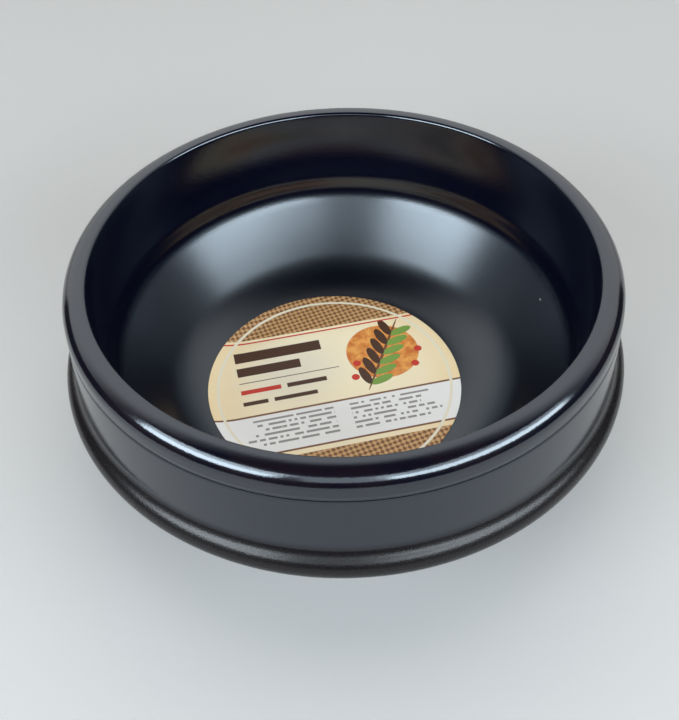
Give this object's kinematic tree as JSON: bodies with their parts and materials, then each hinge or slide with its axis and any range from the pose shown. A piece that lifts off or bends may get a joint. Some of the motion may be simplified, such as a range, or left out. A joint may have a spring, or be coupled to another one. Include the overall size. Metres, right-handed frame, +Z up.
{
  "type": "korean earthenware pot",
  "caption": "Wide, low round earthenware cooking pot, black glazed, with a thick rounded lip, a raised bead round its waist, a foot ring and a round paper label on its floor.",
  "frame": {"origin": "centre of the foot ring, on the surface the pot stands on", "axes": "+Z up along the pot's turning axis, through the middle of the mouth; the side seen in the picture faces -Y"},
  "size_m": [0.1652, 0.1652, 0.065],
  "materials": {
    "glaze": "satin black glaze over fired clay",
    "label_paper": "printed coated paper"
  },
  "bodies": {
    "root": {"pot_body": "glaze", "round_label": "label_paper"}
  },
  "joints": []
}
